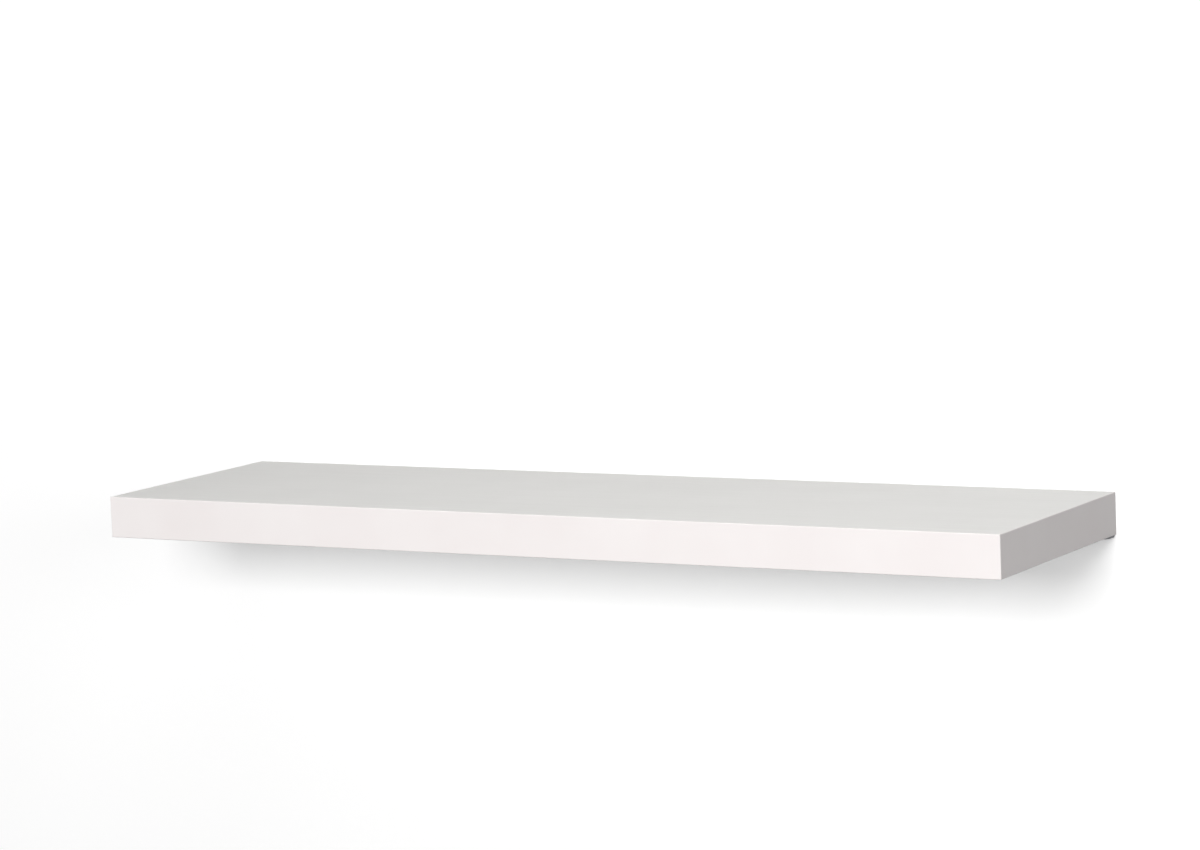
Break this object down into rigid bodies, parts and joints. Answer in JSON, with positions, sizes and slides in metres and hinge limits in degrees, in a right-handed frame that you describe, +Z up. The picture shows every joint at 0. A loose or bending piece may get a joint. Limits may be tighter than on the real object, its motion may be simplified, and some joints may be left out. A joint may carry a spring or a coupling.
{
  "type": "floating wall shelf",
  "caption": "White hollow-core floating wall shelf that slides onto the rods of a concealed wall rail and is locked from below by screws.",
  "frame": {"origin": "on the back face of the wall rail, halfway along its length and halfway up the board's thickness", "axes": "+X along the wall to the right as seen from the room, +Y into the wall, +Z up"},
  "size_m": [0.9, 0.25, 0.0436],
  "materials": {
    "white_foil": "satin white decor foil",
    "white_edge_band": "satin white edge band",
    "fibreboard": "raw dark brown high-density fibreboard",
    "particleboard": "raw pressed wood chips",
    "kraft_paper": "raw brown paper",
    "powder_coated_steel": "matt mid-grey powder coat",
    "zinc_plated_steel": "bright zinc plate"
  },
  "bodies": {
    "bracket": {"rail_leg": "powder_coated_steel", "rail_lip": "powder_coated_steel", "rod_left": "powder_coated_steel", "rod_centre": "powder_coated_steel", "rod_right": "powder_coated_steel"},
    "board": {"top_foil": "white_foil", "top_panel": "fibreboard", "bottom_panel": "fibreboard", "bottom_foil": "white_foil", "front_edge_band": "white_edge_band", "left_edge_band": "white_edge_band", "right_edge_band": "white_edge_band", "front_rail": "particleboard", "back_rail": "particleboard", "left_end_rail": "particleboard", "right_end_rail": "particleboard", "rod_block_left": "particleboard", "rod_block_centre": "particleboard", "rod_block_right": "particleboard", "honeycomb_far_left": "kraft_paper", "honeycomb_near_left": "kraft_paper", "honeycomb_near_right": "kraft_paper", "honeycomb_far_right": "kraft_paper", "frame_staples": "zinc_plated_steel"},
    "left_lock": {"lock_screw_left": "zinc_plated_steel", "lock_washer_left": "zinc_plated_steel"},
    "right_lock": {"lock_screw_right": "zinc_plated_steel", "lock_washer_right": "zinc_plated_steel"}
  },
  "joints": [
    {"name": "board_slide", "type": "slide", "parent": "bracket", "child": "board", "axis": [0, -1, 0], "range_m": [0, 0.2]},
    {"name": "left_lock_slide", "type": "slide", "parent": "board", "child": "left_lock", "axis": [0, 0, -1], "range_m": [0, 0.02]},
    {"name": "right_lock_slide", "type": "slide", "parent": "board", "child": "right_lock", "axis": [0, 0, -1], "range_m": [0, 0.02]}
  ]
}
